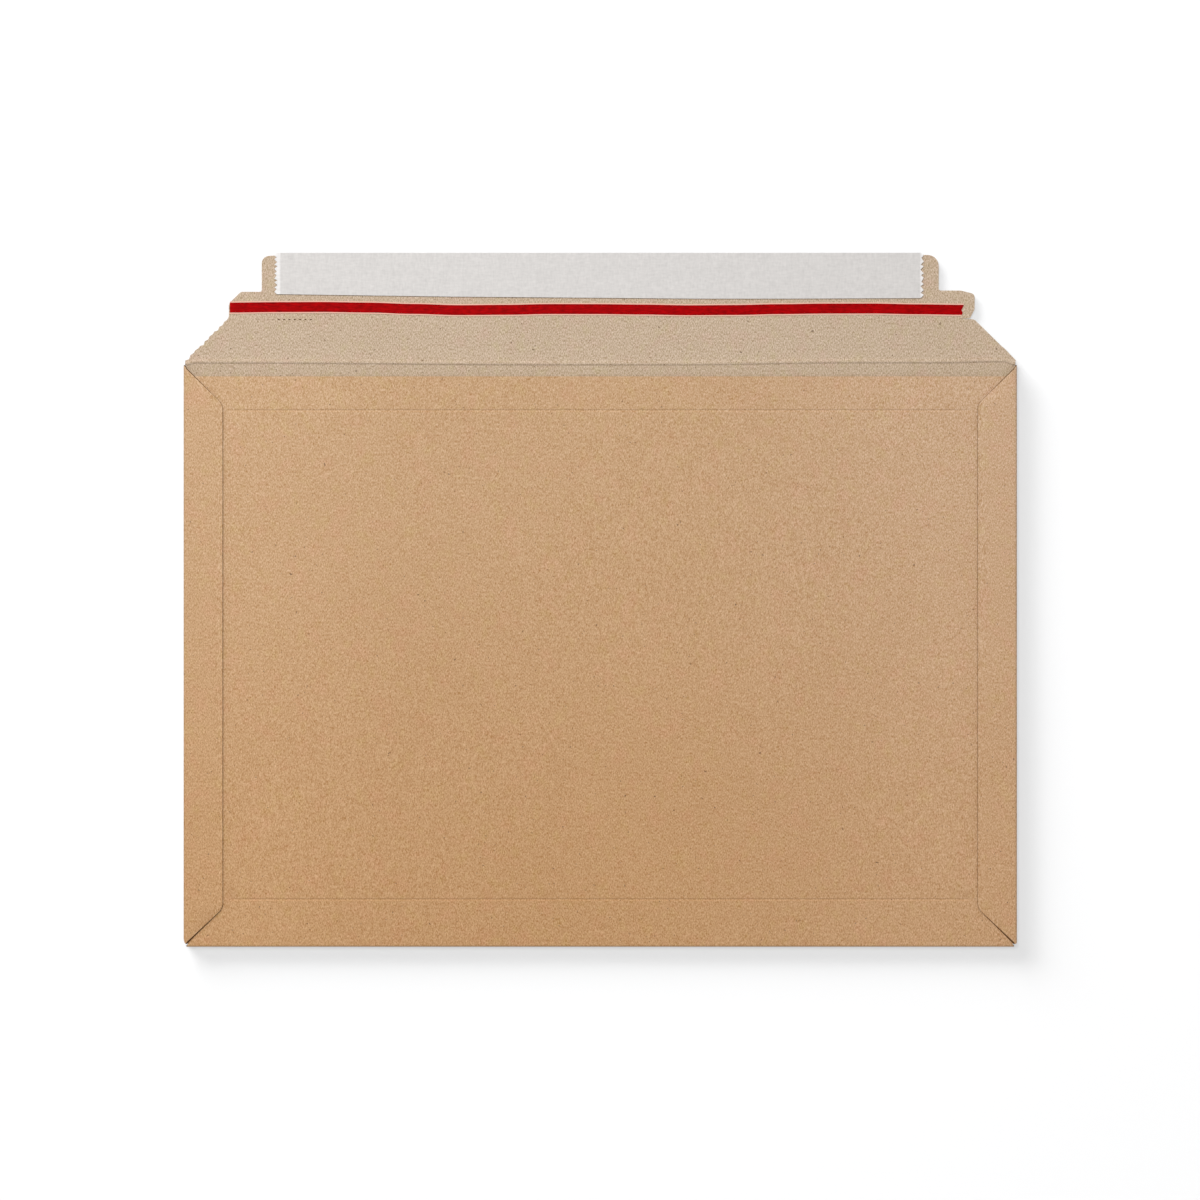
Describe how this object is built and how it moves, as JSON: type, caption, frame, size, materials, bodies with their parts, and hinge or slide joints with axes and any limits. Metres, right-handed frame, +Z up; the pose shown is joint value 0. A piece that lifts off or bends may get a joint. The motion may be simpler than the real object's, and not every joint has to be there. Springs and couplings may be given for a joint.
{
  "type": "board book mailer",
  "caption": "Flat solid-board book mailer: folded and glued kraft pocket with a hinged closing flap that carries a release liner and a red tear tape.",
  "frame": {"origin": "centre of the bounding box in plan, on the surface that the mailer's back panel lies on", "axes": "+X along the fold line towards the tear tab, +Y from the bottom fold towards the open flap, +Z up out of the front panel"},
  "size_m": [0.334, 0.2782, 0.0028],
  "materials": {
    "kraft_board": "matt kraft liner with fine fibre",
    "inner_board": "matt greyish inner board with fine fibre",
    "flap_adhesive": "tacky clear adhesive",
    "liner_paper": "satin off-white release paper",
    "tape_film": "satin red film",
    "seam_glue": "dried glue"
  },
  "bodies": {
    "pocket": {"mailer_pocket": "kraft_board", "left_glue_seam": "seam_glue", "right_glue_seam": "seam_glue"},
    "flap": {"closing_flap": "inner_board", "adhesive_strip": "flap_adhesive", "release_liner": "liner_paper", "tear_tape": "tape_film"}
  },
  "joints": [
    {"name": "flap_fold", "type": "hinge", "parent": "pocket", "child": "flap", "pos_m": [0, 0.09485, 0.0016], "axis": [1, 0, 0], "range_deg": [0, 180]}
  ]
}
